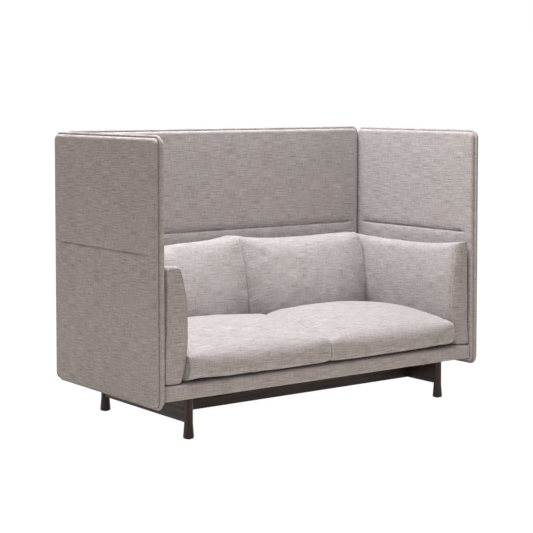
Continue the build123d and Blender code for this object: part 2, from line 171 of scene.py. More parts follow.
# %% Floor sheet
floor_half = 30.0  # metres to each side
floor_colour, floor_glow = (0.75, 0.71, 0.67, 1), 1.12
white_share = 0.885  # how much of what the camera sees of the floor is plain white
floor_corners = [(-1, -1), (1, -1), (1, 1), (-1, 1)]
floor_mesh = bpy.data.meshes.new("floor")
floor_mesh.from_pydata(
    [(a * floor_half, b * floor_half, 0) for a, b in floor_corners], [], [(0, 1, 2, 3)]
)
floor = bpy.data.objects.new("floor", floor_mesh)
bpy.context.scene.collection.objects.link(floor)
floor_paint = bpy.data.materials.new("floor_paint")
floor_paint.use_nodes = True
tree = floor_paint.node_tree
tree.nodes.clear()
matt = add_node(tree, "BsdfDiffuse", {"Color": floor_colour})
glow = add_node(tree, "Emission", {"Color": (1, 1, 1, 1), "Strength": floor_glow})
share = worked_out(tree, "MULTIPLY", seen_directly(tree), white_share)
mixed = add_node(tree, "MixShader", {0: share, 1: matt.outputs[0], 2: glow.outputs[0]})
add_node(tree, "OutputMaterial", {"Surface": mixed.outputs[0]})
floor_mesh.materials.append(floor_paint)
floor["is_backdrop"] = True
print("floor:", [2 * floor_half] * 2, "metres")

# %% [markdown]
# ## Linen
# The cover is a loose, slubby linen. Its thick and thin weft threads lie level and show
# as fine streaks, and a lighter warp crosses them. A picture of cloth would blur close
# up, so the threads are drawn by stretched noise: long and thin one way for the weft, and
# the other way for the warp. The same noise raises the threads a little.
# Threads follow the cut of the cloth. One length of linen runs down over a cushion's top
# and front, and the end pieces are cut separately. So position along the cloth is the
# settee's length, position down it is depth plus height, and the end pieces switch to
# their own two directions.

# %% Shader helpers
def start_finish(name, **fixed):
    """A new material with a Principled shader whose constant sockets are set here."""
    finish = bpy.data.materials.new(name)
    finish.use_nodes = True
    tree = finish.node_tree
    tree.nodes.clear()
    skin = add_node(tree, "BsdfPrincipled")
    for socket, value in fixed.items():
        skin.inputs[socket.replace("_", " ")].default_value = value
    add_node(tree, "OutputMaterial", {"Surface": skin.outputs[0]})
    return finish, tree, skin


def sums(tree, *terms):
    """Adds up pairs of (socket, weight)."""
    parts = [worked_out(tree, "MULTIPLY", socket, weight) for socket, weight in terms]
    total = parts[0]
    for part in parts[1:]:
        total = worked_out(tree, "ADD", total, part)
    return total


def streaks(tree, place, density, detail, scale=1.0):
    """Noise stretched by a different density, in cells per metre, along each axis."""
    wide = add_node(tree, "VectorMath", {0: place, 1: density}, operation="MULTIPLY")
    cells = {"Vector": wide.outputs[0], "Scale": scale, "Detail": detail}
    return add_node(tree, "TexNoise", cells).outputs["Fac"]


def ramp(tree, socket, stops):
    """A colour ramp through (position, colour) stops."""
    node = add_node(tree, "ValToRGB", {"Fac": socket})
    points = node.color_ramp.elements
    while len(points) < len(stops):
        points.new(0.5)
    for point, (position, colour) in zip(points, stops):
        point.position, point.color = position, (*colour, 1)
    return node.outputs["Color"]


def paint(tree, skin, colour, height, strength, distance):
    """Gives a shader its colour and a fine relief of some strength and depth."""
    tree.links.new(colour, skin.inputs["Base Color"])
    relief = {"Height": height, "Strength": strength, "Distance": distance}
    tree.links.new(add_node(tree, "Bump", relief).outputs[0], skin.inputs["Normal"])


# %% Linen finish
# Cells per metre along the weft and down the cloth, and the noise's detail.
thread_noise = [
    ((13.0, 350.0, 1.0), 1.0),  # weft
    ((48.0, 700.0, 1.0), 2.0),  # finer threads in it
    ((330.0, 22.0, 1.0), 1.0),  # warp
    ((5.0, 9.0, 1.0), 1.0),  # cloudy dye
]
thread_height = 0.0008


def linen(name, along, tones):
    """Linen whose weft runs along the settee ("x") or along its sides ("y")."""
    finish, tree, skin = start_finish(
        name, Roughness=0.92, Sheen_Weight=0.12, Sheen_Roughness=0.5, Specular_IOR_Level=0.15
    )
    where = add_node(tree, "TexCoord")
    place = add_node(tree, "SeparateXYZ", {0: where.outputs["Object"]})
    facing = add_node(tree, "SeparateXYZ", {0: where.outputs["Normal"]})
    x, y, z = (place.outputs[k] for k in range(3))
    if along == "x":
        main, fold, end_along, end_facing = x, y, y, facing.outputs[0]
    else:
        fold = worked_out(tree, "ABSOLUTE", x)
        main, end_along, end_facing = y, x, facing.outputs[1]
    down = worked_out(tree, "ADD", z, fold)
    body_place = add_node(tree, "CombineXYZ", {0: main, 1: down, 2: 0.0}).outputs[0]
    end_place = add_node(tree, "CombineXYZ", {0: end_along, 1: z, 2: 7.0}).outputs[0]
    is_end = worked_out(tree, "GREATER_THAN", worked_out(tree, "ABSOLUTE", end_facing), 0.8)
    cloth_place = add_node(
        tree, "Mix", {"Factor": is_end, 4: body_place, 5: end_place}, data_type="VECTOR"
    ).outputs[1]
    weft, fine, warp, cloudy = (streaks(tree, cloth_place, *cells) for cells in thread_noise)
    threads = sums(tree, (weft, 0.50), (fine, 0.22), (warp, 0.28))
    shade = sums(tree, (threads, 0.95), (cloudy, 0.05))
    dark, middle, light = tones
    colour = ramp(tree, shade, [(0.35, dark), (0.5, middle), (0.65, light)])
    paint(tree, skin, colour, threads, 0.4, thread_height)
    return finish


linen_tones = ((0.171, 0.148, 0.138), (0.297, 0.268, 0.260), (0.398, 0.368, 0.365))
linen_long = linen("linen_long", "x", linen_tones)
linen_side = linen("linen_side", "y", linen_tones)
print("linen finishes:", linen_long.name, linen_side.name)

# %% [markdown]
# ## Stained timber
# The legs and rails are a close-grained timber stained almost black, with brown showing
# through. Grain runs along each bar, so the noise is stretched along the bar's own
# direction. A satin lacquer gives a soft shine that varies a little. The boards and beams
# inside are plain sawn pine.

# %% Timber finishes
cells_across, cells_along = 90.0, 4.0  # noise cells per metre across the grain and along it


def timber(name, grain, dark, light, roughness):
    """Timber whose grain runs along "x", "y" or "z"."""
    finish, tree, skin = start_finish(name, Specular_IOR_Level=0.22)
    where = add_node(tree, "TexCoord").outputs["Object"]
    density = [cells_across] * 3
    density["xyz".index(grain)] = cells_along
    lines = streaks(tree, where, density, 6.0)
    pores = streaks(tree, where, density, 2.0, scale=7.0)
    figure = sums(tree, (lines, 0.75), (pores, 0.25))
    low, high = roughness
    gloss = add_node(tree, "MapRange", {"Value": figure, 1: 0.35, 2: 0.65, 3: high, 4: low})
    tree.links.new(gloss.outputs[0], skin.inputs["Roughness"])
    paint(tree, skin, ramp(tree, figure, [(0.38, dark), (0.62, light)]), figure, 0.25, 0.0006)
    return finish


stain = ((0.0135, 0.0076, 0.005), (0.045, 0.026, 0.016))
pine = ((0.42, 0.27, 0.14), (0.62, 0.45, 0.27))
satin, sawn = (0.32, 0.50), (0.55, 0.75)  # smoothest and roughest parts of each surface
stain_up = timber("stained_upright", "z", *stain, satin)
stain_long = timber("stained_long", "x", *stain, satin)
stain_deep = timber("stained_deep", "y", *stain, satin)
pine_long = timber("pine_long", "x", *pine, sawn)
pine_deep = timber("pine_deep", "y", *pine, sawn)
timbers = (stain_up, stain_long, stain_deep, pine_long, pine_deep)
print("timber finishes:", [finish.name for finish in timbers])

# %% [markdown]
# ## Small plain finishes
# Brackets, screws and bolts are zinc plated steel, and the glides under the feet are
# black plastic. Each gets a faint variation, because one flat colour never looks like a
# real surface close up.

# %% Metal, plastic
def speckled(name, dark, light, density, **fixed):
    """A finish whose colour drifts between two tones, in so many specks per metre."""
    finish, tree, skin = start_finish(name, **fixed)
    where = add_node(tree, "TexCoord").outputs["Object"]
    cloud = add_node(tree, "TexNoise", {"Vector": where, "Scale": density, "Detail": 4.0})
    cloud = cloud.outputs["Fac"]
    paint(tree, skin, ramp(tree, cloud, [(0.35, dark), (0.65, light)]), cloud, 0.2, 0.0003)
    return finish


zinc = speckled(
    "zinc", (0.42, 0.43, 0.45), (0.60, 0.61, 0.63), 260.0, Metallic=1.0, Roughness=0.38
)
glide_black = speckled(
    "glide_black", (0.015, 0.015, 0.015), (0.03, 0.03, 0.03), 300.0, Roughness=0.5
)
print("small finishes:", zinc.name, glide_black.name)

# %% [markdown]
# ## Hard pieces
# The timber solids are shown as they are, with two changes that don't move them. A
# bevel of about a millimetre takes off the razor edges that no sanded bar has, and the
# grain follows each bar. The metal pieces only get their finish.

# %% Timber and metal pieces
planed, cut_board, rough_beam, moulded = 0.0012, 0.0010, 0.0015, 0.0005  # softened edges


def finish_solid(name, finish, edge=0.0):
    """Paints a solid and softens its edges."""
    solid = settee[name]
    solid.data.materials.clear()
    solid.data.materials.append(finish)
    if edge:
        bevel = solid.modifiers.new("softened_edges", "BEVEL")
        bevel.width, bevel.segments, bevel.limit_method = edge, 2, "ANGLE"
        bevel.angle_limit = math.radians(20)


for corner in ("front_left", "front_right", "rear_left", "rear_right"):
    finish_solid(f"leg_{corner}", stain_up, planed)
for side in ("left", "right"):
    finish_solid(f"side_rail_{side}", stain_deep, planed)
    finish_solid(f"{side}_screen_board", pine_deep, cut_board)
    finish_solid(f"deck_{side}_end_beam", pine_deep, rough_beam)
    finish_solid(f"deck_{side}_cross_beam", pine_deep, rough_beam)
for end in ("front", "rear"):
    finish_solid(f"long_rail_{end}", stain_long, planed)
    finish_solid(f"deck_{end}_beam", pine_long, rough_beam)
finish_solid("deck_middle_beam", pine_deep, rough_beam)
finish_solid("back_screen_board", pine_long, cut_board)
finish_solid("foot_glides", glide_black, moulded)
metal_pieces = [f"{screen}_screen_bolts" for screen in ("left", "right", "back")]
metal_pieces += ["corner_brackets", "deck_brackets", "bracket_screws"]
for name in metal_pieces:
    finish_solid(name, zinc)
print("metal pieces:", metal_pieces)

# %% [markdown]
# ## Soft pieces
# Every soft piece ends in the same few calls: its points and faces become a mesh, it takes
# its linen, it rides on the body that carries it, and the solid it covers is hidden.

# %% Helpers for a new soft piece
def add_piece(name, points, faces, finish, body="root", smooth=True):
    """Makes a mesh object from points and faces in metres, painted and riding on a body."""
    mesh = bpy.data.meshes.new(name)
    mesh.from_pydata([tuple(p) for p in points], [], faces)
    mesh.validate()
    mesh.materials.append(finish)
    mesh.polygons.foreach_set("use_smooth", [smooth] * len(mesh.polygons))
    piece = bpy.data.objects.new(name, mesh)
    bpy.context.scene.collection.objects.link(piece)
    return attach(piece, body)


def ease(value):
    """0 below 0, 1 above 1, and a smooth rise between."""
    t = np.clip(value, 0.0, 1.0)
    return t * t * (3 - 2 * t)


def drift(points, size, seed):
    """Slow random waves, from -1 to 1, at some points. The seed picks the pattern."""
    corner = Vector((seed, 3 * seed, 7.1))
    return np.array([noise.noise(Vector(p) / size + corner) for p in points])


# %% Faces between rows of points
def sheet_faces(rows, columns):
    """Faces of an open grid of points."""
    return [
        (r * columns + c, (r + 1) * columns + c, (r + 1) * columns + c + 1, r * columns + c + 1)
        for r in range(rows - 1)
        for c in range(columns - 1)
    ]


def tube_faces(rings, n, closed=True):
    """Faces between rings of n points. A closed tube's last ring meets its first one."""
    return [
        (r * n + i, r * n + (i + 1) % n, (r + 1) % rings * n + (i + 1) % n, (r + 1) % rings * n + i)
        for r in range(rings if closed else rings - 1)
        for i in range(n)
    ]


def face_outward(piece):
    """Turns every face of a closed piece to the outside."""
    bm = bmesh.new()
    bm.from_mesh(piece.data)
    bmesh.ops.recalc_face_normals(bm, faces=bm.faces)
    bm.to_mesh(piece.data)
    bm.free()


# %% [markdown]
# ## Screen pads
# Each screen is a board with a thin foam pad on both faces. Linen is pulled over the
# foam's edge, so the pad rolls over all round and its middle stands slightly proud. A
# level crease is sewn across it at arm height. The thread pulls a narrow line down hard
# in a wider dip, and both die out before the edges.
# A grid can't follow a rounded outline, so it only fills the middle of the pad. Round it
# run rings, which share the grid's edge points and step outwards to the rounded rim.

# %% Rings round a rounded rectangle
def outline_rays(half_across, half_up, across, up, corner_steps=6):
    """Points round a rectangle with the way out of each, and the grid place of each."""
    last_a, last_b = len(across) - 1, len(up) - 1
    level, upright = list(enumerate(across)), list(enumerate(up))
    edges = [
        [(a, -half_up, 0.0, -1.0, i, 0) for i, a in level],
        [(half_across, b, 1.0, 0.0, last_a, j) for j, b in upright],
        [(a, half_up, 0.0, 1.0, i, last_b) for i, a in reversed(level)],
        [(-half_across, b, -1.0, 0.0, 0, j) for j, b in reversed(upright)],
    ]
    rays = []
    for k, edge in enumerate(edges):
        a, b, *_, i, j = edge[-1]
        turns = (k - 1) * math.pi / 2 + np.linspace(0, math.pi / 2, corner_steps + 1)[1:-1]
        rays += edge + [(a, b, math.cos(t), math.sin(t), i, j) for t in turns]
    return rays


def without_repeats(face):
    """A face with points that follow themselves taken out."""
    kept = [p for k, p in enumerate(face) if p != face[k - 1]]
    return kept if len(kept) > 2 else None


# %% One pad
roll = 0.013  # radius by which the pad's edge rolls over
pad_corner = 0.028  # radius of the pad's corners, seen from its front
pad_swell, swell_run = 0.0022, 0.11  # the middle stands so far above the rolled edge
crease_height = 0.800  # above the floor
crease_end_gap, crease_fade = 0.038, 0.05
thread_line = (0.0056, 0.0040)  # depth and half width of the line pulled down by thread
wide_dip = (0.0036, 0.018)
pucker_share, pucker_waves = 0.25, (210, 83)  # waves in radians per metre
pad_uneven, pad_uneven_size = 0.0005, 0.09


def pad_rise(edge_distance, across, up, crease_up, crease_half, thickness, seed):
    """Height of the linen above the board, in metres."""
    rolled = np.sqrt(np.clip(roll**2 - np.clip(roll - edge_distance, 0, roll) ** 2, 0, None))
    rise = thickness - roll + rolled + pad_swell * ease(edge_distance / swell_run)
    fade = ease((crease_half - np.abs(across)) / crease_fade)
    beside = up - crease_up
    short, long = (across * wave for wave in pucker_waves)
    pucker = 1 + pucker_share * np.sin(short + seed) * np.sin(long + 2 * seed)
    rise -= fade * thread_line[0] * np.exp(-((beside / thread_line[1]) ** 2))
    rise -= fade * wide_dip[0] * pucker * np.exp(-((beside / wide_dip[1]) ** 2))
    return rise


# %% The mesh of one pad
column_size, row_size = 0.009, 0.010
near_crease = np.array([0, 2, 4, 6, 9, 13, 18, 24, 31, 40]) / 1000  # closer rows there
crease_room = 0.046
rim_insets = [0.021, 0.015, 0.0105, 0.0072, 0.0045, 0.0023, 0.0008, 0.0]  # from the rim
foot_sink = 0.0004  # how far the pad's foot sinks into the board


def pad_piece(name, low, high, side_axis, outward, seed):
    """The linen skin of one screen pad that fills the box of its solid."""
    low, high = Vector(low), Vector(high)
    along = 0 if side_axis == 1 else 1
    width, height = high[along] - low[along], high.z - low.z
    thickness = high[side_axis] - low[side_axis]
    middle_a, middle_b = (low[along] + high[along]) / 2, (low.z + high.z) / 2
    half_a, half_b = width / 2 - pad_corner, height / 2 - pad_corner
    crease_up = crease_height - middle_b
    across = np.linspace(-half_a, half_a, int(width / column_size))
    above = crease_up + near_crease
    up = np.linspace(-half_b, half_b, int(height / row_size))
    up = up[np.abs(up - crease_up) > crease_room]
    up = np.sort(np.concatenate([up, above, 2 * crease_up - above[1:]]))
    rays = outline_rays(half_a, half_b, across, up)

    def plane_points(a, b, edge):
        rise = pad_rise(edge, a, b, crease_up, width / 2 - crease_end_gap, thickness, seed)
        level = np.c_[a, b, np.zeros_like(a)]
        rise = rise + pad_uneven * drift(level, pad_uneven_size, seed)
        return np.c_[a, b, rise]

    grid_a, grid_b = (g.ravel() for g in np.meshgrid(across, up, indexing="ij"))
    edge = pad_corner + np.minimum(half_a - np.abs(grid_a), half_b - np.abs(grid_b))
    parts = [plane_points(grid_a, grid_b, edge)]
    ray = np.array([r[:4] for r in rays])
    for inset in rim_insets:
        a, b = (ray[:, k] + ray[:, 2 + k] * (pad_corner - inset) for k in (0, 1))
        parts.append(plane_points(a, b, np.full(len(ray), inset)))
    foot = parts[-1].copy()
    foot[:, 2] = -foot_sink
    parts.append(foot)
    faces = sheet_faces(len(across), len(up))
    inner, count = [i * len(up) + j for *_, i, j in rays], len(grid_a)
    for _ in parts[1:]:
        outer = list(range(count, count + len(ray)))
        faces += [(inner[k - 1], outer[k - 1], outer[k], inner[k]) for k in range(len(ray))]
        inner, count = outer, count + len(ray)
    faces.append(tuple(reversed(inner)))
    flat = np.concatenate(parts)
    world = np.zeros((len(flat), 3))
    world[:, along] = middle_a + flat[:, 0]
    world[:, 2] = middle_b + flat[:, 1]
    base = low[side_axis] if outward > 0 else high[side_axis]
    world[:, side_axis] = base + outward * flat[:, 2]
    faces = [f for f in (without_repeats(face) for face in faces) if f]
    finish = linen_long if along == 0 else linen_side
    piece = add_piece(name, world, faces, finish)
    face_outward(piece)
    return piece


# %% Six pads
pad_jobs = [  # solid, axis through the screen, way out along it, seed
    ("left_screen_inner_pad", 0, 1, 1.0), ("left_screen_outer_pad", 0, -1, 2.0),
    ("right_screen_inner_pad", 0, -1, 3.0), ("right_screen_outer_pad", 0, 1, 4.0),
    ("back_screen_inner_pad", 1, -1, 5.0), ("back_screen_outer_pad", 1, 1, 6.0),
]
for name, side_axis, outward, seed in pad_jobs:
    pad = pad_piece(f"{name}_linen", *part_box(name), side_axis, outward, seed)
    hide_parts(name)
    print(pad.name, len(pad.data.polygons), "faces")

# %% [markdown]
# ## Beads
# A fat bead of covered cord is stapled round each board's edge between the two pads. It
# is a tube swept round a rounded rectangle, and its thickness drifts by a few hundredths,
# as real piping does. The upright runs of the back screen's bead are squeezed into the
# side screens' soft pads, or daylight would show between the screens.

# %% Three beads
bead_corner, bead_step = 0.040, 0.014  # radius of the bead's corners, length of its rings
round_part = np.radians(np.linspace(-125, 125, 15))
flat_back = [(-0.0056, 0.0094), (-0.0056, -0.0094)]  # the side stapled to the board


def bead_piece(name, side_axis, seed, squeezed_out=0.0):
    """A tube round the box of one bead's solid. Its upright runs may stand out further."""
    low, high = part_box(name)
    along = 0 if side_axis == 1 else 1
    thick = high[side_axis] - low[side_axis]
    radius, tube = bead_corner, thick / 2
    half_a = (high[along] - low[along]) / 2 - radius
    half_b = (high.z - low.z) / 2 - radius
    across = np.linspace(-half_a, half_a, int(2 * half_a / bead_step))
    up = np.linspace(-half_b, half_b, int(2 * half_b / bead_step))
    rays = np.array([r[:4] for r in outline_rays(half_a, half_b, across, up, 9)])
    rays = rays[np.linalg.norm(rays - np.roll(rays, 1, axis=0), axis=1) > 1e-9]
    uneven = 1 + 0.025 * drift(np.c_[rays[:, :2], np.zeros(len(rays))], 0.05, seed)
    section = [(tube * math.cos(t), tube * math.sin(t)) for t in round_part] + flat_back
    points = []
    for out, aside in section:
        stand = max(out, 0.0) / tube * squeezed_out * np.abs(rays[:, 2])
        out = radius - tube + uneven * out + stand
        world = np.zeros((len(rays), 3))
        world[:, along] = (low[along] + high[along]) / 2 + rays[:, 0] + rays[:, 2] * out
        world[:, 2] = (low.z + high.z) / 2 + rays[:, 1] + rays[:, 3] * out
        world[:, side_axis] = (low[side_axis] + high[side_axis]) / 2 + uneven * aside
        points.append(world)
    finish = linen_side if along else linen_long
    faces = tube_faces(len(section), len(rays))
    bead = add_piece(f"{name}_piping", np.concatenate(points), faces, finish)
    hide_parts(name)
    return bead


bead_jobs = [  # solid, axis through the screen, seed, how far its upright runs stand out
    ("left_screen_bead", 0, 1.5, 0.0),
    ("right_screen_bead", 0, 2.5, 0.0),
    ("back_screen_bead", 1, 3.5, 0.0048),
]
for job in bead_jobs:
    print(bead_piece(*job).name)

# %% [markdown]
# ## Deck
# The deck is a low upholstered platform. Foam under its linen rounds every edge, and
# the cloth is drawn tight, so it only swells a little between the edges. Each point of a
# fine box grid is pulled back to a smaller box inside, then pushed out by the radius.

# %% Upholstered deck
swell_in = 0.06  # the swell is full so far in from an edge


def stuffed_block(name, low, high, radius, swell, finish, step=0.012):
    """A box of stretched cloth, rounded but for its bottom edge, with swollen faces."""
    low, high = np.array(low), np.array(high)
    bottom = low[2]
    low[2] -= radius
    bm = bmesh.new()
    bmesh.ops.create_cube(bm, size=1.0)
    size = high - low
    for axis in range(3):
        cuts = max(2, int(size[axis] / step))
        edges = [e for e in bm.edges if abs((e.verts[0].co - e.verts[1].co)[axis]) > 1e-6]
        bmesh.ops.subdivide_edges(bm, edges=edges, cuts=cuts, use_grid_fill=True)
    bm.verts.index_update()
    unit = np.array([v.co for v in bm.verts])
    faces = [[v.index for v in face.verts] for face in bm.faces]
    bm.free()
    points = (unit + 0.5) * size + low
    core = np.clip(points, low + radius, high - radius)
    out = points - core
    length = np.linalg.norm(out, axis=1, keepdims=True)
    out = out / np.maximum(length, 1e-9)
    points = core + out * radius
    room = np.minimum(np.abs(unit + 0.5), np.abs(0.5 - unit)) * size
    middle = ease(np.sort(room, axis=1)[:, 1] / swell_in)[:, None]
    points = points + out * swell * middle
    points[:, 2] = np.maximum(points[:, 2], bottom)
    return add_piece(name, points, faces, finish)


deck_low, deck_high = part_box("deck_cover")
deck = stuffed_block(
    "deck_linen", deck_low, deck_high, radius=0.010, swell=0.0002, finish=linen_long
)
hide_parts("deck_cover", "deck_foam")
print(deck.name, len(deck.data.polygons), "faces")

# %% [markdown]
# ## Loose cushions
# A loose cushion is a linen bag packed with foam and wadding. One long piece of linen
# wraps round it, two end pieces close it, and a raised seam runs where they meet. Packing
# makes the cloth swell between the seams, and the seams pull it in.
# The solid could be remeshed and blown up, but a remesh loses the seams. Here the net of
# the cloth is drawn through three outlines: where the cushion is fullest, and at each end.
# Rows of squares follow every seam, and the end pieces are filled with rows that start
# and end on the outline.

# %% One outline of a cushion
side_points, turn_points = 14, 13
half_turn = turn_points // 2


def spaced(line, count):
    """So many even steps along a line, without its last point."""
    far = np.concatenate([[0], np.cumsum(np.linalg.norm(np.diff(line, axis=0), axis=1))])
    wanted = np.linspace(0, far[-1], count, endpoint=False)
    return np.column_stack([np.interp(wanted, far, column) for column in line.T])


def cushion_outline(corners, bows, radii, counts):
    """Even points round four bowed sides that turn smoothly at four rounded corners."""
    sides = []
    for k in range(4):
        here, after = corners[k], corners[(k + 1) % 4]
        run = after - here
        length = np.linalg.norm(run)
        outward = np.array([run[1], -run[0]]) / length
        first, last = radii[k] / length, 1 - radii[(k + 1) % 4] / length
        share = np.linspace(first, last, side_points)[:, None]
        sides.append(here + run * share + outward * (bows[k] * 4 * share * (1 - share)))
    turns = []
    for k in range(4):
        before, after = sides[k - 1], sides[k]
        way_in, way_out = before[-1] - before[-2], after[1] - after[0]
        reach = np.linalg.solve(np.column_stack([way_in, way_out]), after[0] - before[-1])
        peak = before[-1] + way_in * reach[0]
        share = np.linspace(0, 1, turn_points)[:, None]
        turns.append(
            before[-1] * (1 - share) ** 2 + peak * (2 * share * (1 - share)) + after[0] * share**2
        )
    ring = []
    for k in range(4):
        before, after = turns[k][half_turn:-1], turns[(k + 1) % 4][1 : half_turn + 1]
        ring.append(spaced(np.concatenate([before, sides[k], after]), counts[k]))
    return np.concatenate(ring)


def between(full, end, share):
    """An outline part of the way from the fullest one to an end's."""
    return [np.array(a) + (np.array(b) - np.array(a)) * share for a, b in zip(full, end)]


# %% The net of an end piece
def end_piece(ring, first, place, a, b, count):
    """Points inside one end's outline, in rows from side to side, and its faces."""
    n = len(ring)
    low, high = ring[np.arange(a + 1)], ring[(2 * a + b - np.arange(a + 1)) % n]
    right, left = ring[a + np.arange(b + 1)], ring[(n - np.arange(b + 1)) % n]
    points, index = [], {}
    for i in range(a + 1):
        for j in range(b + 1):
            if j == 0 or i == a or j == b or i == 0:
                edge = i if j == 0 else a + j if i == a else 2 * a + b - i if j == b else n - j
                index[i, j] = first + edge % n
                continue
            u, v = i / a, j / b
            flat = (1 - v) * low[i] + v * high[i] + (1 - u) * left[j] + u * right[j]
            flat -= (1 - u) * (1 - v) * low[0] + u * (1 - v) * low[a]
            flat -= (1 - u) * v * high[0] + u * v * high[a]
            index[i, j] = count + len(points)
            points.append([place, *flat])
    faces = [
        (index[i, j], index[i + 1, j], index[i + 1, j + 1], index[i, j + 1])
        for i in range(a)
        for j in range(b)
    ]
    return np.array(points), faces


# %% The net of a whole cushion
net_size = 0.012  # side of one square of the net
near_seam = np.array([0.0, 0.004, 0.009, 0.015, 0.022, 0.030])  # closer rows there
even_from = 0.040
seam_draw = 0.0042  # how much the seam pulls the cloth in at a cushion's very end
seam_reach = 0.018  # length over which the cloth swells back


def cushion_net(span, full, ends, fullness, turned_in, turn_reach):
    """Points (along, across, up), faces and the two seam rows of a cushion's net."""
    (start, stop), middle = span, sum(span) / 2
    a, b = (round(math.dist(full[0][k], full[0][k + 1]) / net_size) for k in (0, 1))
    rows = round((stop - start) / net_size) - 8
    inner = np.linspace(start + even_from, stop - even_from, rows)
    places = np.concatenate([start + near_seam, inner, stop - near_seam[::-1]])
    rings = []
    for place in places:
        share = (place - middle) / (stop - middle)
        at_end = 0 if share < 0 else 1
        section = between(full, ends[at_end], abs(share) ** fullness)
        from_end = min(place - start, stop - place)
        near = 1 - min(from_end / turn_reach, 1)
        section[0] = section[0] + np.array(turned_in[at_end]) * (1 - math.sqrt(1 - near**2))
        ring = cushion_outline(*section, (a, b, a, b))
        centre = ring.mean(axis=0)
        size = np.ptp(ring, axis=0) / 2
        pulled = seam_draw * (1 - ease(from_end / seam_reach))
        rings.append(centre + (ring - centre) * (1 - pulled / size))
    n, last = 2 * (a + b), len(places) - 1
    points = [np.column_stack([np.full(n, place), ring]) for place, ring in zip(places, rings)]
    faces = tube_faces(len(places), n, closed=False)
    for row, place in ((0, start), (last, stop)):
        count = sum(len(part) for part in points)
        inside, end_faces = end_piece(rings[row], row * n, place, a, b, count)
        points.append(inside)
        faces += end_faces
    seams = [np.arange(n), last * n + np.arange(n)]
    return np.concatenate(points), faces, seams, n


# %% [markdown]
# ## Filling
# Cloth simulation fills the bag. Air presses on the net from inside, and there is no
# gravity. On air alone a long bag turns as round as a sausage. A real cushion's foam core
# holds its shape, so each point is also tied softly to its own place, and the seams are
# tied firmly. What is left is what the eye looks for: a slight swell between the seams
# and small puckers beside them.

# %% Reading points or their normals
def read_vectors(items, key):
    """One vector of each item, as rows of an array."""
    flat = np.zeros(len(items) * 3)
    items.foreach_get(key, flat)
    return flat.reshape(-1, 3)


# %% Blowing a cushion up
foam_hold, seam_hold = 0.28, 1.0  # how firmly a point is tied to its place
swell_cap = 0.009  # the furthest that a point may move
smoothing_rounds = 5
linen_cloth = {
    "quality": 4, "mass": 0.25, "air_damping": 2.0, "tension_stiffness": 18.0,
    "compression_stiffness": 18.0, "shear_stiffness": 8.0, "bending_stiffness": 0.4,
    "shrink_min": -0.02,
}


def blow_up(piece, seam_points, frames=16, pressure=4.0):
    """Fills the net with air and moves its points. Returns how far one moved, in metres."""
    scene = bpy.context.scene
    start = read_vectors(piece.data.vertices, "co")
    ties = piece.vertex_groups.new(name="ties")
    ties.add(range(len(start)), foam_hold, "REPLACE")
    ties.add([int(k) for k in seam_points], seam_hold, "REPLACE")
    cloth = piece.modifiers.new("filling", "CLOTH")
    setting = cloth.settings
    for key, value in linen_cloth.items():
        setattr(setting, key, value)
    setting.use_pressure, setting.uniform_pressure_force = True, pressure
    setting.vertex_group_mass = ties.name
    setting.effector_weights.gravity = 0.0
    cloth.point_cache.frame_start, cloth.point_cache.frame_end = 1, frames
    cloth.collision_settings.use_collision = False
    for frame_number in range(1, frames + 1):
        scene.frame_set(frame_number)
    shape = piece.evaluated_get(bpy.context.evaluated_depsgraph_get())
    moved = read_vectors(shape.to_mesh().vertices, "co") - start
    shape.to_mesh_clear()
    piece.modifiers.remove(cloth)
    piece.vertex_groups.clear()
    scene.frame_set(1)
    pairs = np.array([e.vertices[:] for e in piece.data.edges])
    meets = np.bincount(pairs.ravel(), minlength=len(start))[:, None]
    for _ in range(smoothing_rounds):
        total = np.zeros_like(moved)
        np.add.at(total, pairs[:, 0], moved[pairs[:, 1]])
        np.add.at(total, pairs[:, 1], moved[pairs[:, 0]])
        moved = moved * 0.5 + total / meets * 0.5
    far = np.linalg.norm(moved, axis=1, keepdims=True)
    moved *= np.minimum(1.0, swell_cap / np.maximum(far, 1e-9))
    piece.data.vertices.foreach_set("co", (start + moved).ravel())
    piece.data.update()
    return float(far.max())


# %% [markdown]
# ## Pressed and folded
# Six cushions share one tight nook. Where one would swell into a neighbour it lies flat
# against it, as packed cushions do. Cloth that has been sat on also keeps a few folds: soft
# grooves between two points. With a negative depth the same helper raises a bulge.

# %% Room and folds
def press_into_room(points, low, high, soft=0.003):
    """Flattens what would stand outside a box, with a soft turn into the flat part."""
    for axis in range(3):
        for limit, way in ((low[axis], -1.0), (high[axis], 1.0)):
            over = way * (points[:, axis] - limit) + soft
            pressed = soft * (1 - np.exp(-np.clip(over, 0, None) / soft))
            beyond = over > 0
            points[beyond, axis] = limit + way * (pressed[beyond] - soft)
    return points


def fold(points, normals, start, end, width, depth):
    """Presses a soft fold into the cloth between two points, or raises one."""
    start, end = np.array(start), np.array(end)
    run = end - start
    share = (points - start) @ run / (run @ run)
    nearest = start + np.clip(share, 0, 1)[:, None] * run
    away = np.linalg.norm(points - nearest, axis=1)
    fade = ease(1.3 - 1.3 * np.abs(2 * np.clip(share, 0, 1) - 1))
    points -= normals * (depth * fade * np.exp(-((away / width) ** 2)))[:, None]
    return points


# %% [markdown]
# ## Seams
# The raised seam is a thin welt that follows the row of net points at each end. A row of
# topstitches runs about a centimetre inside it. Both read their line from the finished
# cushion, so they lie on the cloth however it swelled.

# %% Lines on the cloth
def line_frames(line):
    """The way along a closed line and the way out of it, at each point."""
    run = np.roll(line, -1, axis=0) - np.roll(line, 1, axis=0)
    run /= np.linalg.norm(run, axis=1, keepdims=True)
    axis = int(np.argmin(np.ptp(line, axis=0)))
    side = np.zeros(3)
    side[axis] = 1.0
    out = np.cross(run, side)
    if ((line - line.mean(axis=0)) * out).sum() < 0:
        out = -out
    return run, side, out


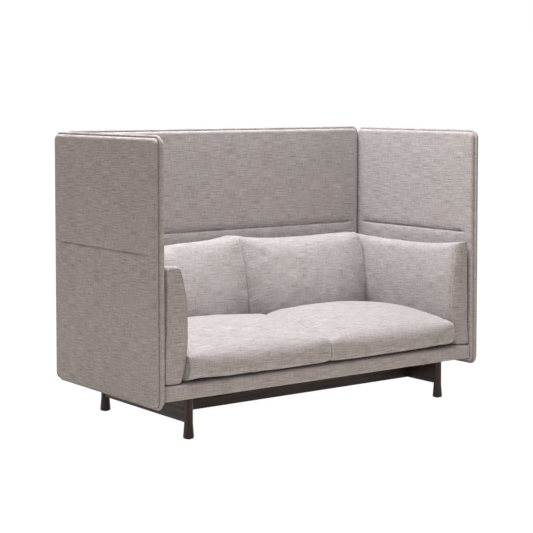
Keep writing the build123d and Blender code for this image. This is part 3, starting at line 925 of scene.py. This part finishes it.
def evened(line, spacing):
    """A closed line at even spacing."""
    closed = np.vstack([line, line[:1]])
    length = np.linalg.norm(np.diff(closed, axis=0), axis=1).sum()
    return spaced(closed, round(length / spacing))


# %% Welt and topstitches
def welt(name, line, half_width, half_height, finish, body):
    """A thin rounded ridge along a closed line."""
    run, side, out = line_frames(line)
    corners, sides = [], 8
    for k in range(sides):
        angle = 2 * math.pi * k / sides
        corners.append(
            line + out * (half_height * math.cos(angle)) + side * (half_width * math.sin(angle))
        )
    return add_piece(name, np.concatenate(corners), tube_faces(sides, len(line)), finish, body)


def stitch_row(name, line, length, thickness, finish, body):
    """One short round stitch at each point of a line, half sunk in the cloth."""
    run, side, out = line_frames(line)
    rings = [(-0.5, 0.3), (-0.3, 1.0), (0.3, 1.0), (0.5, 0.3)]  # place along it, fatness
    sides, points = 6, []
    for share, fat in rings:
        for k in range(sides):
            angle = 2 * math.pi * k / sides
            offset = out * math.cos(angle) + side * math.sin(angle)
            points.append(line + run * (share * length) + offset * (thickness / 2 * fat))
    n, per = len(line), len(rings) * sides
    points = np.stack(points, axis=1).reshape(-1, 3)
    stitch = tube_faces(len(rings), sides, closed=False)
    faces = [tuple(i * per + p for p in face) for i in range(n) for face in stitch]
    return add_piece(name, points, faces, finish, body)


# %% [markdown]
# ## Outlines of the six cushions
# Each outline has four corners, given from its lower front round to its upper front, or
# for an arm cushion from its lower inner side. With them go the bows of its four sides,
# from the bottom one on, and the radii of its corners. The seats are fullest in the middle
# and fall over their front in one broad curve, with a crisp corner at both ends. The backs
# stand on the deck and belly forward, and their inner ends rise highest. The arms are
# slim, level along the middle and pointed at their front and rear ends.

# %% Outlines, in metres
def seat_outlines(low, high):
    """The fullest outline of a seat cushion and those of its inner and outer ends."""
    front, rear, floor = low[1] + 0.004, high[1], low[2]

    def corners(lift, front_top, rear_top, back_by, foot_by=0.004, rear_by=0.012):
        top = [(rear - rear_by, floor + rear_top), (front + back_by, floor + front_top)]
        return [(front + foot_by, floor + lift), (rear, floor), *top]

    full = corners(lift=0.011, front_top=0.120, rear_top=0.181, back_by=0.006)
    inner = corners(lift=0.013, front_top=0.122, rear_top=0.160, back_by=0.008)
    outer = corners(lift=0.021, front_top=0.123, rear_top=0.154, back_by=0.010)
    full = full, (0.0, 0.003, 0.042, 0.006), (0.032, 0.020, 0.030, 0.073)
    inner = inner, (0.0, 0.003, 0.022, 0.006), (0.024, 0.015, 0.020, 0.016)
    outer = outer, (0.0, 0.003, 0.021, 0.007), (0.032, 0.015, 0.020, 0.016)
    return full, (inner, outer)


def back_outlines(low, high):
    """The fullest outline of a back cushion and those of its inner and outer ends."""
    rear, floor = high[1], low[2]

    def corners(foot, top, lean, head=0.134):
        upper = [(rear - lean, floor + top), (rear - head, floor + top)]
        return [(rear - foot, floor), (rear, floor), *upper]

    full = corners(foot=0.262, top=0.486, lean=0.0)
    inner = corners(foot=0.200, top=0.524, lean=0.010)
    outer = corners(foot=0.182, top=0.497, lean=0.010)
    full = full, (0.0, 0.004, 0.012, 0.040), (0.032, 0.025, 0.034, 0.070)
    inner = inner, (0.0, 0.002, 0.006, 0.034), (0.032, 0.020, 0.016, 0.014)
    outer = outer, (0.0, 0.002, 0.006, 0.034), (0.032, 0.020, 0.014, 0.010)
    return full, (inner, outer)


def arm_outlines(low, high):
    """The fullest outline of an arm cushion and those of its front and rear ends."""
    inner, floor = low[0], low[2]

    def corners(foot, head, top, foot_in=0.029, head_in=0.031):
        lower = [(inner + foot_in, floor), (inner + foot, floor)]
        return [*lower, (inner + head, floor + top), (inner + head_in, floor + top)]

    full = corners(foot=0.102, head=0.102, top=0.468)
    front = corners(foot=0.112, head=0.101, top=0.506)
    rear = corners(foot=0.108, head=0.096, top=0.486)
    full = full, (0.0, 0.010, 0.011, 0.031), (0.020, 0.018, 0.026, 0.030)
    front = front, (0.0, -0.002, 0.003, 0.044), (0.016, 0.016, 0.007, 0.007)
    rear = rear, (0.0, 0.0, 0.004, 0.029), (0.016, 0.016, 0.012, 0.012)
    return full, (front, rear)


# %% [markdown]
# ## From net to cushion
# One function makes all six. It draws the net, lets it drift a little so that no two are
# twins, fills it, presses it into its room, splits each square of the net into four and
# adds the folds, then the welts and stitches. A left cushion is drawn as a right one and
# mirrored, so that "inner" means the same on both sides.

# %% Making a cushion
thread_finish = speckled("thread", (0.50, 0.46, 0.43), (0.62, 0.58, 0.55), 900.0, Roughness=0.8)
cushion_gap = 0.0010  # left between neighbouring cushions
top_room, side_room = 0.012, 0.005  # how far the cloth may stand above and beside its solid
uneven, uneven_size = 0.0016, 0.11
welt_step, welt_size = 0.005, (0.0017, 0.0022)  # half width and half height
stitch_pitch, stitch_size = 0.0065, (0.0042, 0.0010)  # length and thickness
straight = ((0, 0),) * 4
kinds = {  # outlines, axis along the cushion, fullness, fill, finish
    "seat": (seat_outlines, 0, 2.0, 0.9, linen_long),
    "back": (back_outlines, 0, 2.8, 0.75, linen_long),
    "arm": (arm_outlines, 1, 3.0, 0.8, linen_side),
}


def make_cushion(kind, side, seed, turned_in, folds=(), turn_reach=0.055):
    """Draws, fills and presses one cushion, then adds the seams at its ends."""
    outlines, along, fullness, fill, finish = kinds[kind]
    name, sign = f"{kind}_cushion_{side}", 1 if side == "right" else -1
    low, high = (np.array(v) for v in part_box(name))
    if sign < 0:
        low[0], high[0] = -high[0], -low[0]
    span = (low[along] + cushion_gap, high[along] - cushion_gap)
    points, faces, seams, n = cushion_net(
        span, *outlines(low, high), fullness, turned_in, turn_reach
    )
    points = points[:, (0, 1, 2) if along == 0 else (1, 0, 2)]
    piece = add_piece(f"{name}_linen", points, faces, finish, name)
    face_outward(piece)
    out = read_vectors(piece.data.vertex_normals, "vector")
    points += out * (uneven * drift(points, uneven_size, seed))[:, None]
    points[:, 0] *= sign
    piece.data.vertices.foreach_set("co", points.ravel())
    if sign < 0:
        piece.data.flip_normals()
    swelled = blow_up(piece, np.concatenate(seams))
    low, high = (np.array(v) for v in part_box(name))
    high[2] += top_room
    low[0] -= side_room if name != "seat_cushion_right" else -cushion_gap
    high[0] += side_room if name != "seat_cushion_left" else -cushion_gap
    points = press_into_room(read_vectors(piece.data.vertices, "co"), low, high)
    piece.data.vertices.foreach_set("co", points.ravel())
    fine = piece.modifiers.new("fine", "SUBSURF")
    fine.levels = fine.render_levels = 1
    bpy.context.view_layer.update()
    shown = bpy.data.meshes.new_from_object(
        piece.evaluated_get(bpy.context.evaluated_depsgraph_get())
    )
    piece.modifiers.remove(fine)
    piece.data = shown
    shown.name = piece.name
    points = read_vectors(shown.vertices, "co")
    out = read_vectors(shown.vertex_normals, "vector")
    for one_fold in folds:
        points = fold(points, out, *one_fold)
    shown.vertices.foreach_set("co", points.ravel())
    shown.update()
    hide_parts(name)
    for label, seam, step in (("low", seams[0], 1), ("high", seams[1], -1)):
        line, label = evened(points[seam], welt_step), f"{name}_{label}"
        ridge = welt(f"{label}_welt", line, *welt_size, finish, name)
        second, third = points[seam + 2 * step * n], points[seam + 3 * step * n]  # net rows
        line = evened(second * 0.7 + third * 0.3, stitch_pitch)
        row = stitch_row(f"{label}_stitches", line, *stitch_size, thread_finish, name)
    print(f"{name}: {len(shown.polygons)} faces, swelled {swelled * 1000:.0f} mm")


# %% [markdown]
# ## Six cushions, none alike
# At the seam between the seats the left one stands higher, and the right one falls off in
# a round shoulder. Both bulge out under the arm cushions. The left back cushion comes
# forward over the inner end of the right one, which is drawn back and wrinkled. The left
# arm's front end is low and full, and the right arm's is slim. An end says how far its
# four corners move, as (across, up) pairs in the order of the outline, and this dies out
# over turn_reach. A fold has two points, a half width and a depth.

# %% Two seat cushions
raised_rear = ((0, 0), (0, 0), (0, 0.011), (0, -0.014))
round_shoulder = ((0, 0), (0, 0), (0, -0.052), (0, -0.018))
sunk_rim = ((0, 0), (0, 0), (0, -0.006), (0, -0.006))
left_bulge, right_bulge = (
    ((x, -0.44, 0.285), (x, -0.25, 0.285), 0.050, -0.018) for x in (-0.762, 0.762)
)
make_cushion("seat", "left", 10.0, (raised_rear, sunk_rim), [left_bulge])
make_cushion("seat", "right", 11.0, (round_shoulder, sunk_rim), [right_bulge], turn_reach=0.15)

# %% Two back cushions
forward_rim = ((-0.004, 0), (0, 0), (0, 0), (-0.006, 0))
drawn_back = ((0.012, 0), (0, 0), (0, -0.006), (0.016, -0.006))
long_rise = ((-0.030, 0.30, 0.770), (-0.440, 0.30, 0.756), 0.050, -0.012)
inner_wrinkles = [
    ((-0.004, 0.20, 0.640), (0.100, 0.185, 0.566), 0.007, 0.0055),
    ((0.004, 0.20, 0.600), (0.070, 0.185, 0.540), 0.008, 0.0030),
]
outer_ear = [
    ((0.762, 0.29, 0.746), (0.725, 0.29, 0.750), 0.014, -0.006),
    ((0.735, 0.21, 0.715), (0.690, 0.20, 0.690), 0.010, 0.0035),
]
make_cushion("back", "left", 12.0, (forward_rim, straight), [long_rise])
make_cushion("back", "right", 13.0, (drawn_back, straight), inner_wrinkles + outer_ear)

# %% Two arm cushions
low_top = ((0, 0), (0, 0), (0, -0.012), (0, -0.012))
slim_inside = ((0.040, 0.004), (0, 0), (0, 0), (0.052, 0.002))
make_cushion("arm", "left", 14.0, (low_top, straight))
make_cushion("arm", "right", 15.0, (slim_inside, straight))

# %% [markdown]
# ## Under the deck
# Twelve webbing straps run from front to rear and carry the foam. Each lies flat on both
# beams and sags by half a millimetre between them. A black dust cloth closes the deck. It
# is stapled tight under the beams, and hangs a millimetre or so slack between them.

# %% Straps
strap_cloth = speckled(
    "strap_cloth", (0.05, 0.045, 0.04), (0.12, 0.11, 0.10), 900.0, Roughness=0.9
)
web_low, web_high = (np.array(v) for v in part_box("deck_webbing"))
half_count, strap_width = 6, 0.060  # straps on either side of the deck's middle
strap_pitch, strap_sag = 0.100, 0.0005
last = web_high[0] - strap_width / 2  # middle of the outermost strap
middles = [side * (last - strap_pitch * k) for side in (-1, 1) for k in range(half_count)]
steps = 60
places = np.linspace(web_low[1], web_high[1], steps)
sag = strap_sag * np.sin(np.linspace(0, math.pi, steps))
strap_section = [(-0.5, web_low[2]), (0.5, web_low[2]), (0.5, web_high[2]), (-0.5, web_high[2])]
web_points, web_faces = [], []
for middle in middles:
    used = 4 * steps * (len(web_points) // 4)
    for aside, level in strap_section:
        across = np.full(steps, middle + aside * strap_width)
        web_points.append(np.column_stack([across, places, level - sag]))
    for face in sheet_faces(5, steps):
        web_faces.append(tuple(used + p % (4 * steps) for p in face))
    web_faces += [tuple(used + k * steps + end for k in range(4)) for end in (0, steps - 1)]
straps = add_piece("deck_straps", np.concatenate(web_points), web_faces, strap_cloth, smooth=False)
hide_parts("deck_webbing")
print("straps:", len(middles), "at x =", sorted(round(float(x), 3) for x in middles)[-half_count:])

# %% Dust cloth
black_cloth = speckled(
    "black_cloth", (0.012, 0.012, 0.012), (0.03, 0.03, 0.03), 700.0, Roughness=0.95
)
cloth_low, cloth_high = (np.array(v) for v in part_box("deck_dust_cloth"))
cloth_cut = cloth_high - cloth_low
columns, rows = 96, 48
slack_run = 0.05  # the cloth hangs its full slack so far in from its staples
u, v = (g.ravel() for g in np.meshgrid(np.linspace(0, 1, columns), np.linspace(0, 1, rows)))
across, back = u * cloth_cut[0], v * cloth_cut[1]
to_edge = np.minimum(np.minimum(u, 1 - u) * cloth_cut[0], np.minimum(v, 1 - v) * cloth_cut[1])
points = np.column_stack([cloth_low[0] + across, cloth_low[1] + back, 0 * u])
slack = 0.0010 + 0.0006 * drift(points, 0.16, 21.0)
points[:, 2] = (cloth_low[2] + cloth_high[2]) / 2 - slack * ease(to_edge / slack_run)
dust_cloth = add_piece("dust_cloth_sheet", points, sheet_faces(rows, columns), black_cloth)
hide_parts("deck_dust_cloth")
print("dust cloth, flat size in metres:", [round(float(c), 3) for c in cloth_cut[:2]])

# %% [markdown]
# ## Last check
# The dressed settee has to fill the same box as its solids, give or take the cloth. How
# much its box has grown over theirs is printed.

# %% Sizes and finish
shown_low, shown_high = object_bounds()
growth = zip(shown_high - shown_low, cad_high - cad_low)
print("grown by mm:", [round((a - b) * 1000, 1) for a, b in growth])
